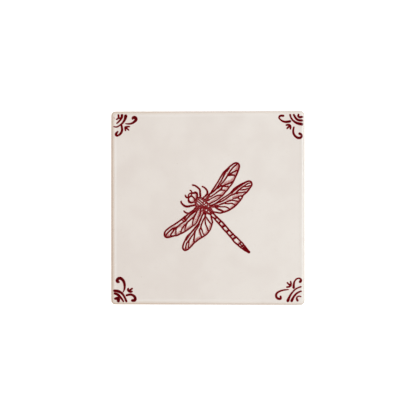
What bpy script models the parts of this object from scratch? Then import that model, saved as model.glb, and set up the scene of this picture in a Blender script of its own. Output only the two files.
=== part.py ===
"""Square glazed earthenware wall tile, lying on its back with the face up.

The origin is the middle of the back, +Z is out of the face, +X is the picture's
right and +Y its top. The tile is one fired piece in two materials: the pressed
clay body with its keyed back, and the glaze that caps the face and most of the
edges. The glaze draws itself up into a low bead just inside the edges.
"""

from math import cos, pi, sin

import bmesh
import bpy

# Driving dimensions, in metres.
SIDE = 0.130  # over the glaze, the traditional Dutch tile size
THICKNESS = 0.008  # from the back to the crest of the glaze bead
CORNER_RADIUS = 0.0027  # seen from above, over the glaze
CORNER_SHARPENING = 0.45  # how much of an inset the corner radius loses

# Glaze.
FACE_GLAZE = 0.00045  # its thickness on the face
EDGE_GLAZE = 0.00035  # and on the edges
GLAZE_GAP = 0.0003  # the clearance between the two meshes
SKIRT_HEIGHT = 0.0025  # where the glaze ends on the edges, above the back
SKIRT_LIP = 0.00012  # rounding of that lower end
ROLL_OFF = 0.0019  # radius from the edge to the face
BEAD_CREST = 0.0027  # from the edge to the bead's crest
BEAD_FOOT = 0.0047  # from the edge to where the flat field starts
BEAD_HEIGHT = 0.00015  # of the crest above the field

# Clay body.
CLAY_INSET = EDGE_GLAZE + GLAZE_GAP
CLAY_TOP = THICKNESS - BEAD_HEIGHT - FACE_GLAZE - GLAZE_GAP
CLAY_SHOULDER = 0.0015  # radius under the glaze's roll-off
BACK_CHAMFER = 0.0006

# Keying of the back: shallow square pans between ribs, for the mortar.
KEY_PANS = 6  # along each side, so that two ribs cross at the origin
KEY_PITCH = 0.0186
KEY_RIB = 0.0036
KEY_DEPTH = 0.0009
KEY_DRAFT = 0.0005  # how far a pan's wall leans in over its depth
KEY_ROUNDING = 0.0008  # of a pan's corners, seen from below
CUTTER_EXCESS = 0.0010  # how far the cutter stands out of the back

# Facets.
CORNER_STEPS = 8
ROLL_STEPS = 6
BEAD_STEPS = 5
SHOULDER_STEPS = 4
SMOOTH_BELOW = 0.6  # radians between faces that are shaded as one surface


def clear_scene():
    for leftover in list(bpy.data.objects):
        bpy.data.objects.remove(leftover)


def material(name, colour, roughness):
    """A non-metallic Principled material."""
    made = bpy.data.materials.new(name)
    made.use_nodes = True
    shader = made.node_tree.nodes["Principled BSDF"]
    shader.inputs["Base Color"].default_value = (*colour, 1.0)
    shader.inputs["Roughness"].default_value = roughness
    shader.inputs["Metallic"].default_value = 0.0
    return made


def place(name, mesh, finish):
    """A mesh as a named object, smooth over its round stretches."""
    mesh.materials.append(finish)
    mesh.shade_smooth()
    mesh.set_sharp_from_angle(angle=SMOOTH_BELOW)
    made = bpy.data.objects.new(name, mesh)
    bpy.context.scene.collection.objects.link(made)
    return made


def rounded_square(inset, height):
    """Points anticlockwise round the tile's outline, set in from its edges."""
    half = SIDE / 2 - inset
    radius = CORNER_RADIUS - CORNER_SHARPENING * inset
    centre = half - radius
    points = []
    for quarter in range(4):
        turn = quarter * pi / 2
        sign_x = 1 if quarter in (0, 3) else -1
        sign_y = 1 if quarter in (0, 1) else -1
        for step in range(CORNER_STEPS + 1):
            angle = turn + step / CORNER_STEPS * pi / 2
            x = sign_x * centre + radius * cos(angle)
            y = sign_y * centre + radius * sin(angle)
            points.append((x, y, height))
    return points


def loft(name, profile):
    """A closed mesh through the rounded squares of a profile of (inset, height)
    pairs, capped flat at both ends. Seen with the tile's middle on the left, the
    profile runs anticlockwise, so that the faces point out."""
    bm = bmesh.new()
    rings = [
        [bm.verts.new(point) for point in rounded_square(inset, height)]
        for inset, height in profile
    ]
    count = len(rings[0])
    for lower, upper in zip(rings, rings[1:]):
        for here in range(count):
            beyond = (here + 1) % count
            bm.faces.new((lower[here], lower[beyond], upper[beyond], upper[here]))
    bm.faces.new(reversed(rings[0]))
    bm.faces.new(rings[-1])
    mesh = bpy.data.meshes.new(name)
    bm.to_mesh(mesh)
    bm.free()
    return mesh


def quarter_round(inset, height, radius, steps):
    """(inset, height) pairs from an upright edge over to a level face. The edge
    is at this inset, and the face at this height."""
    pairs = []
    for step in range(steps + 1):
        angle = step / steps * pi / 2
        pairs.append((inset + radius * (1 - cos(angle)), height - radius * (1 - sin(angle))))
    return pairs


def bead(inset, field):
    """(inset, height) pairs from the bead's crest down to the flat field."""
    pairs = []
    for step in range(1, BEAD_STEPS + 1):
        share = step / BEAD_STEPS
        fall = (1 - cos(share * pi)) / 2
        pairs.append((inset + share * (BEAD_FOOT - BEAD_CREST), field + BEAD_HEIGHT * (1 - fall)))
    return pairs


def key_cutter():
    """The pans of the back as one hidden cutter: a drafted block, repeated."""
    reach = KEY_DEPTH + CUTTER_EXCESS
    mouth = KEY_PITCH - KEY_RIB
    half_floor = mouth / 2 - KEY_DRAFT
    half_outside = mouth / 2 + KEY_DRAFT * CUTTER_EXCESS / KEY_DEPTH
    bm = bmesh.new()
    bmesh.ops.create_cube(bm, size=1.0)
    upright = [e for e in bm.edges if e.verts[0].co.xy == e.verts[1].co.xy]
    for vert in bm.verts:
        half = half_floor if vert.co.z > 0 else half_outside
        vert.co.x *= 2 * half
        vert.co.y *= 2 * half
        vert.co.z *= reach
    bmesh.ops.bevel(bm, geom=upright, offset=KEY_ROUNDING, segments=3, profile=0.5, affect="EDGES")
    first = -(KEY_PANS - 1) / 2 * KEY_PITCH
    bmesh.ops.translate(bm, verts=bm.verts, vec=(first, first, KEY_DEPTH - reach / 2))
    mesh = bpy.data.meshes.new("key_cutter")
    bm.to_mesh(mesh)
    bm.free()
    cutter = bpy.data.objects.new("key_cutter", mesh)
    bpy.context.scene.collection.objects.link(cutter)
    for axis in range(2):
        row = cutter.modifiers.new(f"row_{axis}", "ARRAY")
        row.count = KEY_PANS
        row.use_relative_offset = False
        row.use_constant_offset = True
        row.constant_offset_displace = [KEY_PITCH if axis == a else 0.0 for a in range(3)]
        row.use_merge_vertices = False
    cutter.hide_render = True
    cutter.display_type = "WIRE"
    return cutter


def clay_body():
    """The pressed slab, with its shoulder under the glaze and its keyed back."""
    profile = [(CLAY_INSET + BACK_CHAMFER, 0.0), (CLAY_INSET, BACK_CHAMFER)]
    profile += quarter_round(CLAY_INSET, CLAY_TOP, CLAY_SHOULDER, SHOULDER_STEPS)
    clay = material("fired_clay", (0.62, 0.47, 0.34), 0.9)
    body = place("clay_body", loft("clay_body", profile), clay)
    keys = body.modifiers.new("keys", "BOOLEAN")
    keys.operation = "DIFFERENCE"
    keys.solver = "EXACT"
    keys.object = key_cutter()


def glaze_coat():
    """The glaze: an upturned shallow tray whose rim ends low on the edges."""
    field = THICKNESS - BEAD_HEIGHT
    under = field - FACE_GLAZE
    inner = quarter_round(EDGE_GLAZE, under, CLAY_SHOULDER + GLAZE_GAP, SHOULDER_STEPS)
    outer = quarter_round(0.0, THICKNESS, ROLL_OFF, ROLL_STEPS)
    skirt = [
        (EDGE_GLAZE, SKIRT_HEIGHT),
        (SKIRT_LIP, SKIRT_HEIGHT),
        (0.0, SKIRT_HEIGHT + SKIRT_LIP),
    ]
    crest = [(BEAD_CREST, THICKNESS)]
    profile = inner[::-1] + skirt + outer + crest + bead(BEAD_CREST, field)
    glaze = material("cream_glaze", (0.78, 0.72, 0.65), 0.12)
    place("glaze_coat", loft("glaze_coat", profile), glaze)


def main():
    clear_scene()
    clay_body()
    glaze_coat()


main()
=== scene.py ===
"""Hand-painted glazed wall tile: a cream tin glaze over buff clay, with a crimson dragonfly
across the face and an ox-head scroll in each corner.

The tile lies on its back. +X is the picture's right and +Y its top. The picture is drawn
in millimetres from the middle of the face, and each corner scroll from its own corner.
"""

import random
from math import atan2, cos, hypot, pi, radians, sin

import bpy
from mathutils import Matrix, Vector
from mathutils.bvhtree import BVHTree


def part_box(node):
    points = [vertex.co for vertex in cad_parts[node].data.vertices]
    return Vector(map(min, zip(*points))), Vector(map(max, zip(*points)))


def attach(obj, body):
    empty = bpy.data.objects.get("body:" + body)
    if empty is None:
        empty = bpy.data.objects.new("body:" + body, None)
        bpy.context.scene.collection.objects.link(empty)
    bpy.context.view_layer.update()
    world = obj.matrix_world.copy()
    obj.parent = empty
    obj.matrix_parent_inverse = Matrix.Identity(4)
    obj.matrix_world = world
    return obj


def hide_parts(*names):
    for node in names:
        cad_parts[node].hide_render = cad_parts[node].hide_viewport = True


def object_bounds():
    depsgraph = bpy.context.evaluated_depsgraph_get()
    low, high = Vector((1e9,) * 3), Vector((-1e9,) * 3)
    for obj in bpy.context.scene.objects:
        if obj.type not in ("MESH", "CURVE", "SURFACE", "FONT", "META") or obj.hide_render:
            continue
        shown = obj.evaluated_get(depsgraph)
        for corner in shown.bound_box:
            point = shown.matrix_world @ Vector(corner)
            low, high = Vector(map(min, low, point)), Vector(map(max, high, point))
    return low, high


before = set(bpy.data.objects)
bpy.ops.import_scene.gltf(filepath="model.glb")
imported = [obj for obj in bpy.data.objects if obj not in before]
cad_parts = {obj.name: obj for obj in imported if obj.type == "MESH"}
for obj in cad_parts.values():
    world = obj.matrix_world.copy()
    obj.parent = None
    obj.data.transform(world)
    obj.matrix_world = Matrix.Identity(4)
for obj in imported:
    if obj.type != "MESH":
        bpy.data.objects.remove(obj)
cad_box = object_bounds()
bpy.ops.object.select_all(action='DESELECT')

MM = 0.001
HAND = random.Random(1903)  # the small unevenness of hand work

tile_low, tile_high = (Vector(point) for point in cad_box)
glaze_low, glaze_high = (Vector(point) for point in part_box("glaze_coat"))
CLAY_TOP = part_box("clay_body")[1][2]
HALF = tile_high.x  # from the middle to an edge

CORNER_RADIUS = 2.7 * MM
CORNER_STEPS = 8
EDGE_CUTS = 47  # along each side of the glaze, so that its face fills as an even grid


# ---------------------------------------------------------------- mesh helpers

def select(mode, picked):
    """In edit mode, select only the faces, by middle and normal, or the edges, by middle and
    direction, that the test accepts."""
    bpy.ops.mesh.select_mode(type=mode)
    bpy.ops.mesh.select_all(action='DESELECT')
    bpy.ops.object.mode_set(mode='OBJECT')
    mesh = bpy.context.object.data
    if mode == 'FACE':
        for face in mesh.polygons:
            face.select = picked(face.center, face.normal)
    else:
        for edge in mesh.edges:
            a, b = (mesh.vertices[i].co for i in edge.vertices)
            edge.select = picked((a + b) / 2, b - a)
    bpy.ops.object.mode_set(mode='EDIT')


def finish_modifier(piece, kind, **settings):
    """Add a modifier with its settings, and apply it."""
    modifier = piece.modifiers.new(kind.title(), kind)
    for name, value in settings.items():
        setattr(modifier, name, value)
    bpy.ops.object.modifier_apply(modifier=modifier.name)


def clouds(name, grain):
    texture = bpy.data.textures.new(name, 'CLOUDS')
    texture.noise_scale = grain
    texture.noise_depth = 2
    return texture


def group(piece, name, weight):
    """A vertex group whose weight is a function of the vertex's place."""
    members = piece.vertex_groups.new(name=name)
    for vertex in piece.data.vertices:
        members.add([vertex.index], weight(vertex.co), 'REPLACE')


def ramp(value, start, end):
    """0 up to the start, 1 from the end on, and even between them."""
    return max(0.0, min(1.0, (value - start) / (end - start)))


def from_edge(place, half=HALF, radius=CORNER_RADIUS):
    """How far inside a round-cornered square a place is, seen from above."""
    x, y = (max(0.0, abs(c) - half + radius) for c in place.xy)
    return radius - hypot(x, y) if x or y else half - max(abs(place.x), abs(place.y))


# ---------------------------------------------------------------- the glaze

def climb(rings):
    """Carry the selected rim, which lies along the foot of the glaze, from one ring to the
    next, and fill the last. A ring is how far inside the tile's edge it is and how high, in mm."""
    half, height = HALF, glaze_low.z
    for inset, level in rings:
        bpy.ops.mesh.extrude_region_move()
        scale = (HALF - inset * MM) / half
        bpy.ops.transform.resize(value=(scale, scale, 1), center_override=(0, 0, 0))
        bpy.ops.transform.translate(value=(0, 0, level * MM - height))
        half, height = HALF - inset * MM, level * MM
    bpy.ops.mesh.fill_grid(span=EDGE_CUTS + 1 + CORNER_STEPS, offset=0)


def make_glaze_skin():
    """The glaze: a shallow tray upside down, with a rolled edge and a low bead on its face."""
    lip = glaze_low.z / MM
    crest = glaze_high.z / MM
    roll_wide, roll_high = 2.3, 1.9  # the turn from the side onto the face
    bead_start, bead_wide, bead_drop = 2.4, 1.6, 0.15  # its slope down to the field
    bpy.ops.mesh.primitive_plane_add(size=2 * HALF, location=(0, 0, glaze_low.z))
    skin = bpy.context.object
    skin.name = "glaze_skin"
    bpy.ops.object.transform_apply(location=True)
    bpy.ops.object.mode_set(mode='EDIT')
    bpy.ops.mesh.select_all(action='SELECT')
    bpy.ops.mesh.bevel(offset=CORNER_RADIUS, segments=CORNER_STEPS, affect='VERTICES')
    select('EDGE', lambda middle, run: run.length > HALF)
    bpy.ops.mesh.subdivide(number_cuts=EDGE_CUTS)
    bpy.ops.mesh.select_all(action='SELECT')
    bpy.ops.mesh.delete(type='ONLY_FACE')

    # Up the outside: the skirt, the roll over the edge, the bead and the field inside it.
    bpy.ops.mesh.select_all(action='SELECT')
    climb([(0.0, lip + 0.5), (0.0, lip + 0.9)]
          + [(roll_wide * (1 - cos(t)), crest - roll_high + roll_high * sin(t))
             for t in (radians(angle) for angle in (12, 24, 36, 48, 60, 70, 80, 90))]
          + [(bead_start + bead_wide * t, crest - bead_drop + bead_drop / 2 * (1 + cos(pi * t)))
             for t in (0.2, 0.4, 0.6, 0.8, 1.0)])

    # Down inside: the lip, the inner wall and the underside that meets the clay.
    select('EDGE', lambda middle, run: middle.z < glaze_low.z + 0.01 * MM)
    climb([(0.18, lip - 0.02), (0.32, lip + 0.25), (0.36, lip + 1.2), (0.40, crest - 3.0),
           (0.62, crest - 2.1), (1.2, crest - 1.25), (2.4, crest - 0.75), (3.4, crest - 0.7)])
    bpy.ops.mesh.select_all(action='SELECT')
    bpy.ops.mesh.normals_make_consistent(inside=False)
    bpy.ops.object.mode_set(mode='OBJECT')

    finish_modifier(skin, 'SUBSURF', levels=1, render_levels=1)

    # The glaze pooled unevenly over the face and ran down the edges to a wavering line.
    group(skin, "face", lambda spot: 1.0 if spot.z > glaze_high.z - 0.5 * MM else 0.0)
    group(skin, "run", lambda spot: ramp(spot.z, glaze_low.z + 0.9 * MM, glaze_low.z + 0.2 * MM)
          if from_edge(spot) < 0.34 * MM else 0.0)
    finish_modifier(skin, 'DISPLACE', texture=clouds("glaze pooling", 0.017), texture_coords='LOCAL',
                    direction='Z', strength=0.07 * MM, mid_level=0.55, vertex_group="face")
    finish_modifier(skin, 'DISPLACE', texture=clouds("glaze edge", 0.006), texture_coords='LOCAL',
                    direction='Z', strength=2.6 * MM, mid_level=0.42, vertex_group="run")
    bpy.ops.object.shade_smooth_by_angle(angle=radians(60))
    return skin


# ---------------------------------------------------------------- the clay

def make_biscuit():
    """The pressed clay body, with the shallow pans in its back that key it to the mortar."""
    half = HALF - 0.42 * MM  # inside the glaze that laps its sides
    corner_radius = 2.3 * MM
    pans = 6  # each way
    pitch = 18.6 * MM
    bpy.ops.mesh.primitive_cube_add(size=1, location=(0, 0, CLAY_TOP / 2),
                                    scale=(2 * half, 2 * half, CLAY_TOP))
    body = bpy.context.object
    body.name = "biscuit"
    bpy.ops.object.transform_apply(location=True, scale=True)
    bpy.ops.object.mode_set(mode='EDIT')
    select('FACE', lambda middle, normal: normal.z < -0.9)
    bpy.ops.mesh.inset(thickness=half - pans / 2 * pitch)
    select('FACE', lambda middle, normal: normal.z < -0.9 and middle.length < 1 * MM)
    bpy.ops.mesh.subdivide(number_cuts=pans - 1)
    select('FACE', lambda middle, normal: normal.z < -0.9
           and max(abs(middle.x), abs(middle.y)) < pans / 2 * pitch - 2 * MM)
    bpy.ops.mesh.inset(thickness=1.8 * MM, use_individual=True)
    bpy.ops.mesh.inset(thickness=0.5 * MM, depth=-0.9 * MM, use_individual=True)
    select('EDGE', lambda middle, run: abs(run.z) > CLAY_TOP / 2)
    bpy.ops.mesh.bevel(offset=corner_radius, segments=CORNER_STEPS, affect='EDGES')
    for level, width in ((CLAY_TOP, 2.0 * MM), (0.0, 0.7 * MM)):
        select('EDGE', lambda middle, run: abs(middle.z - level) < 0.01 * MM
               and from_edge(middle, half, corner_radius) < 0.1 * MM)
        bpy.ops.mesh.bevel(offset=width, segments=4, affect='EDGES')
    bpy.ops.object.mode_set(mode='OBJECT')

    finish_modifier(body, 'SUBSURF', subdivision_type='SIMPLE', levels=2, render_levels=2)
    group(body, "pressed", lambda spot: ramp(spot.z, 0.05 * MM, 0.85 * MM))
    finish_modifier(body, 'DISPLACE', texture=clouds("pressing", 0.011), texture_coords='LOCAL',
                    strength=0.16 * MM, mid_level=0.55, vertex_group="pressed")
    bpy.ops.object.shade_smooth_by_angle(angle=radians(30))
    return body


# ---------------------------------------------------------------- brush strokes

BLEED = 1.26  # how much wider the colour ran in the firing
ROUNDING = ((0.47, 0.3), (0.28, 0.8))  # past a stroke's end: how far and how wide, in its widths
STEADY = 0.96, 1.04  # how evenly the brush is pressed

PAINT_HEIGHT = 0.038 * MM  # the most that one coat stands above what it is laid on
COAT = 0.03 * MM  # how much higher each further coat starts
SWELL = 0.6 * MM  # half width at which a coat has half of that height
SUNK = 0.012 * MM  # how far the underside of a coat lies in the glaze
FULL_LOAD = 0.9 * MM  # half width at which a stroke holds all the colour that it can


def stroke(width, *points):
    """One pull of the brush: where it goes, and its width, as one number or several spread
    evenly along it."""
    widths = width if isinstance(width, tuple) else (width, width)
    drawn = []
    for i, (x, y) in enumerate(points):
        at = i / (len(points) - 1) * (len(widths) - 1)
        low = min(int(at), len(widths) - 2)
        drawn.append((x, y, BLEED * (widths[low] + (widths[low + 1] - widths[low]) * (at - low))))
    return drawn


def length_of(path):
    return sum(hypot(b[0] - a[0], b[1] - a[1]) for a, b in zip(path, path[1:]))


def spot_along(path, share):
    """The point at a share of a broken line's length."""
    left = share * length_of(path)
    for a, b in zip(path, path[1:]):
        step = hypot(b[0] - a[0], b[1] - a[1])
        if left <= step or b is path[-1]:
            part = min(1.0, left / step)
            return a[0] + (b[0] - a[0]) * part, a[1] + (b[1] - a[1]) * part
        left -= step


def shade(dark, light, pitch=0.5, broad=0.3, fine=0.12):
    """Hatching across a cell: short pulls that start on its dark side and run out thin towards
    its light side."""
    count = max(2, round(length_of(dark) / pitch))
    drawn = []
    for i in range(count):
        share = (i + 0.5 + HAND.uniform(-0.15, 0.15)) / count
        (x, y), (far_x, far_y) = spot_along(dark, share), spot_along(light, share)
        reach = HAND.uniform(0.8, 1.0)
        drawn.append([(x + (far_x - x) * t * reach, y + (far_y - y) * t * reach, broad + (fine - broad) * t)
                      for t in (0.0, 0.35, 0.7, 1.0)])
    return drawn


def wash(one, other, width=1.0, pitch=0.55):
    """A wash of dilute colour laid from one line across to another in overlapping pulls."""
    reach = max(hypot(a[0] - b[0], a[1] - b[1]) for a, b in zip(one, other))
    pulls = max(2, round(reach / pitch) + 1)
    return [[(a[0] + (b[0] - a[0]) * share, a[1] + (b[1] - a[1]) * share, width)
             for a, b in zip(one, other)] for share in (i / (pulls - 1) for i in range(pulls))]


def feather(strokes, by=0.14):
    """The faint edge that the colour of these strokes bled into the glaze around them."""
    return [[(x, y, width + by) for x, y, width in path] for path in strokes]


def blunt(path):
    """A stroke with a rounded start and finish, as a full brush leaves it."""
    ends = []
    for (x, y, width), (next_x, next_y, _) in ((path[0], path[1]), (path[-1], path[-2])):
        away = hypot(x - next_x, y - next_y)
        dx, dy = (x - next_x) / away * width, (y - next_y) / away * width
        ends.append([(x + dx * out, y + dy * out, width * wide) for out, wide in ROUNDING])
    return ends[0] + path + ends[1][::-1]


def pull(strokes):
    """Draw strokes as ribbons of colour, round all along."""
    bpy.ops.curve.primitive_bezier_curve_add(enter_editmode=True)
    ribbons = bpy.context.object
    bpy.ops.curve.select_all(action='SELECT')
    bpy.ops.curve.delete(type='VERT')
    for path in strokes:
        bpy.ops.curve.select_all(action='DESELECT')
        for x, y, _ in path:
            bpy.ops.curve.vertex_add(location=(x * MM, y * MM, 0))
    bpy.ops.curve.select_all(action='SELECT')
    bpy.ops.curve.handle_type_set(type='AUTOMATIC')
    bpy.ops.object.mode_set(mode='OBJECT')
    for spline, path in zip(ribbons.data.splines, strokes):
        for point, (_, _, width) in zip(spline.bezier_points, path):
            point.radius = width / 2 * HAND.uniform(*STEADY)
    ribbons.data.dimensions = '3D'
    ribbons.data.resolution_u = 4
    ribbons.data.bevel_depth = MM
    ribbons.data.bevel_resolution = 2
    ribbons.data.use_fill_caps = True
    bpy.ops.object.convert(target='MESH')
    bpy.ops.object.mode_set(mode='EDIT')
    bpy.ops.mesh.select_all(action='SELECT')
    bpy.ops.mesh.remove_doubles(threshold=0.0005 * MM)
    bpy.ops.mesh.normals_make_consistent(inside=False)
    bpy.ops.object.mode_set(mode='OBJECT')
    return ribbons


def lay(ribbons, load, ground, lift):
    """Flatten the ribbons onto the glaze, and note on each point how deep the colour is there."""
    depth = ribbons.data.attributes.new("paint_depth", 'FLOAT', 'POINT')
    for mark, vertex in zip(depth.data, ribbons.data.vertices):
        x, y, z = vertex.co
        mark.value = min(1.0, abs(z) / FULL_LOAD) * load
        surface = ground.ray_cast(Vector((x, y, 2 * tile_high.z)), Vector((0, 0, -1)))[0].z
        if z > -0.001 * MM:
            swell = max(0.0, z / SWELL)
            vertex.co.z = surface + lift + PAINT_HEIGHT * swell / (1 + swell)
        else:
            vertex.co.z = surface - SUNK


def unwrap(piece):
    """Give a piece a flat map named OFBake: its own outline from above."""
    flat = piece.data.uv_layers.new(name="OFBake")
    places = [vertex.co for vertex in piece.data.vertices]
    left, low = min(p.x for p in places), min(p.y for p in places)
    size = max(max(p.x for p in places) - left, max(p.y for p in places) - low)
    for loop, spot in zip(piece.data.loops, flat.data):
        place = places[loop.vertex_index]
        spot.uv = (place.x - left) / size, (place.y - low) / size


def brushwork(name, coats, ground, at=(0, 0), lift=0.004 * MM):
    """A painted part of the picture. Each coat is a load of colour and its strokes, the first
    coat lowest. The whole part is set down a little aside, where it sits well with the others."""
    parts = []
    for step, (load, strokes) in enumerate(coats):
        ribbons = pull([blunt([(x + at[0], y + at[1], width) for x, y, width in path]) for path in strokes])
        lay(ribbons, load, ground, lift + step * COAT)
        parts.append(ribbons)
    bpy.ops.object.select_all(action='DESELECT')
    for part in parts:
        part.select_set(True)
    bpy.context.view_layer.objects.active = parts[0]
    if len(parts) > 1:
        bpy.ops.object.join()
    piece = bpy.context.object
    piece.name = piece.data.name = name
    unwrap(piece)
    bpy.ops.object.shade_smooth_by_angle(angle=radians(50))
    return piece


# ---------------------------------------------------------------- the dragonfly

head = [
    # The face, a small ring in front of the eyes.
    stroke(0.78, (-12.7, 7.7), (-13.1, 8.4), (-12.75, 9.2), (-12.1, 9.85), (-11.3, 10.15), (-10.9, 9.6),
           (-11.1, 8.8), (-11.7, 8.2), (-12.4, 7.7), (-13.0, 7.6)),
    # The far eye and the near eye.
    stroke((0.85, 1.05, 1.2, 1.4, 1.15, 0.9, 0.85), (-11.0, 9.2), (-10.9, 10.0), (-10.0, 10.2),
           (-9.1, 10.25), (-8.2, 10.4), (-7.5, 10.0), (-7.2, 9.2), (-7.15, 8.3), (-7.3, 7.4),
           (-7.8, 6.6)),
    stroke(0.6, (-8.9, 10.9), (-8.2, 11.0), (-7.5, 10.6)),
    stroke(0.85, (-11.0, 8.4), (-10.3, 7.8), (-9.6, 7.1), (-9.0, 6.4)),
    stroke((0.8, 0.85, 1.25, 1.35, 0.9, 0.85), (-12.4, 7.3), (-12.95, 6.7), (-12.95, 5.8), (-12.75, 4.9),
           (-12.1, 4.1), (-11.0, 3.75), (-10.0, 3.9), (-9.2, 4.3)),
    stroke((0.75, 0.85, 0.9), (-11.8, 7.7), (-11.0, 8.0), (-10.1, 7.6), (-9.3, 6.9), (-8.8, 6.0),
           (-8.9, 4.9)),
    # The feelers.
    stroke((0.78, 1.08, 0.95), (-15.15, 8.7), (-14.75, 7.85), (-14.15, 7.25), (-13.2, 7.3)),
    stroke((0.78, 0.8, 0.8), (-11.9, 12.05), (-11.3, 11.7), (-10.9, 11.1), (-10.7, 10.4)),
]
head_shading = (
    shade([(-7.6, 9.6), (-7.6, 8.0), (-8.1, 6.9)],
          [(-8.9, 9.3), (-8.9, 8.3), (-9.0, 7.6)], pitch=0.45, broad=0.36)
    + shade([(-9.2, 6.4), (-9.3, 5.2), (-10.2, 4.4), (-11.4, 4.4)],
            [(-10.2, 6.8), (-10.5, 5.8), (-10.9, 5.4), (-11.5, 5.2)])
)

legs = [
    stroke((0.95, 1.08, 1.25), (-10.2, 15.5), (-9.2, 15.3), (-8.2, 14.9), (-7.3, 14.3), (-6.4, 13.5),
           (-5.6, 12.7), (-5.25, 11.7), (-5.2, 10.4), (-5.1, 9.2), (-5.05, 8.1), (-5.1, 7.0)),
    stroke((0.9, 1.08, 1.15, 1.0), (-3.7, 14.5), (-2.8, 14.1), (-2.05, 13.6), (-1.35, 12.9),
           (-0.75, 12.1), (-0.35, 11.2), (-0.25, 10.2), (-0.6, 9.3), (-1.3, 8.5), (-1.9, 7.8),
           (-2.5, 6.9), (-3.2, 6.3)),
    stroke((0.9, 1.3, 1.12), (-17.9, 4.55), (-17.85, 3.9), (-17.4, 3.1), (-16.7, 2.4), (-15.9, 1.75),
           (-15.0, 1.27), (-13.9, 1.1), (-12.6, 1.25), (-11.3, 1.6), (-10.0, 1.8), (-8.4, 2.2)),
    stroke((0.85, 1.0, 1.05, 0.7), (-16.0, -1.95), (-15.4, -2.55), (-14.6, -3.1), (-13.7, -3.35),
           (-12.8, -3.3)),
]

thorax_wash = (
    wash([(-7.4, 7.0), (-4.4, 6.7), (-1.8, 5.5), (-0.4, 3.7), (1.5, 2.0), (2.3, 0.5), (2.7, -1.2),
          (4.4, -2.8)],
         [(-9.0, 5.6), (-8.5, 3.2), (-8.1, 1.3), (-7.2, 0.2), (-5.4, -0.8), (-3.4, -1.8), (-1.2, -3.2),
          (1.8, -4.2)])
    + wash([(-8.0, 1.0), (-9.5, -0.9), (-11.0, -2.1)], [(-7.0, 0.4), (-7.5, -1.7), (-10.6, -2.9)])
    + wash([(-5.6, 0.2), (-4.9, -1.6), (-5.3, -3.4)], [(-4.6, -0.4), (-4.5, -1.8), (-5.2, -3.4)])
    + wash([(-3.2, -1.4), (-3.3, -2.7), (-3.6, -3.9)],
           [(-1.2, -2.2), (-1.5, -3.1), (-1.8, -4.2)], width=0.8)
    # Where the right wings spring from it.
    + wash([(-2.4, 5.8), (-0.8, 7.4), (0.6, 8.7)], [(0.4, 5.3), (0.2, 6.7), (1.0, 8.3)])
    + wash([(1.2, 2.1), (3.4, 2.1), (6.6, 2.1)], [(1.6, 0.8), (3.4, 0.7), (6.8, 0.6)], width=0.9)
)
thorax = [
    # Its edges and the stripes across it.
    stroke((0.95, 0.9, 0.85), (-7.0, 7.1), (-5.8, 7.05), (-4.4, 6.85), (-3.2, 6.55), (-1.8, 5.75),
           (-0.4, 5.15), (0.4, 5.2), (1.2, 5.85)),
    stroke(0.75, (-8.5, 6.0), (-7.9, 5.0), (-8.1, 3.4), (-8.4, 2.4)),
    stroke((0.55, 0.78, 0.78, 0.78), (-6.6, 6.0), (-5.75, 5.35), (-4.95, 4.65), (-3.9, 3.9)),
    stroke((0.6, 0.78, 0.78), (-7.1, 4.7), (-6.35, 4.05), (-5.4, 3.3), (-4.65, 2.55), (-3.8, 1.8)),
    stroke(0.55, (-7.5, 3.4), (-6.7, 2.4), (-6.0, 1.7)),
    # Flecks over its wash, where the colour lies thicker.
    stroke(0.75, (-2.9, 4.75), (-2.0, 4.7)), stroke(0.7, (-0.2, 2.9), (0.0, 2.5)),
    stroke(0.65, (-2.7, 2.55), (-2.2, 2.5)), stroke(0.65, (-1.6, 1.7), (-1.2, 1.7)),
    stroke(0.7, (-7.6, 1.2), (-6.9, 0.8)), stroke(0.6, (0.0, 0.35), (0.4, 0.3)),
    stroke(0.7, (-2.8, -0.5), (-2.6, -1.2)), stroke(0.6, (-3.7, -1.6), (-3.2, -1.6)),
    stroke(0.7, (-0.2, -1.3), (0.7, -1.3)), stroke(0.6, (1.1, -1.8), (1.4, -2.2)),
    stroke(0.75, (-1.0, -2.4), (-0.5, -2.7)), stroke(0.8, (-3.0, -3.1), (-2.5, -3.5)),
    stroke((0.6, 0.8, 0.6), (2.2, -0.6), (2.4, -1.2)), stroke(0.8, (3.2, -3.0), (3.8, -3.4)),
    stroke(0.8, (1.0, -3.8), (1.7, -4.2)), stroke(0.8, (2.2, 1.6), (3.0, 1.6)),
    stroke(1.05, (-5.1, -3.3), (-4.9, -2.6), (-4.65, -2.0), (-4.95, -1.3)),
    stroke(0.9, (-4.5, -1.3), (-4.5, -2.1)),
    stroke(0.85, (-6.55, -0.85), (-6.45, -1.2)), stroke(0.6, (-3.2, 7.2), (-2.6, 7.75)),
    stroke(0.6, (-7.15, -1.4), (-7.15, -2.3)),
    stroke(0.65, (0.4, 3.1), (1.6, 3.2), (2.6, 3.8)), stroke(0.7, (-0.7, 6.7), (-0.6, 7.2)),
]
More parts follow.
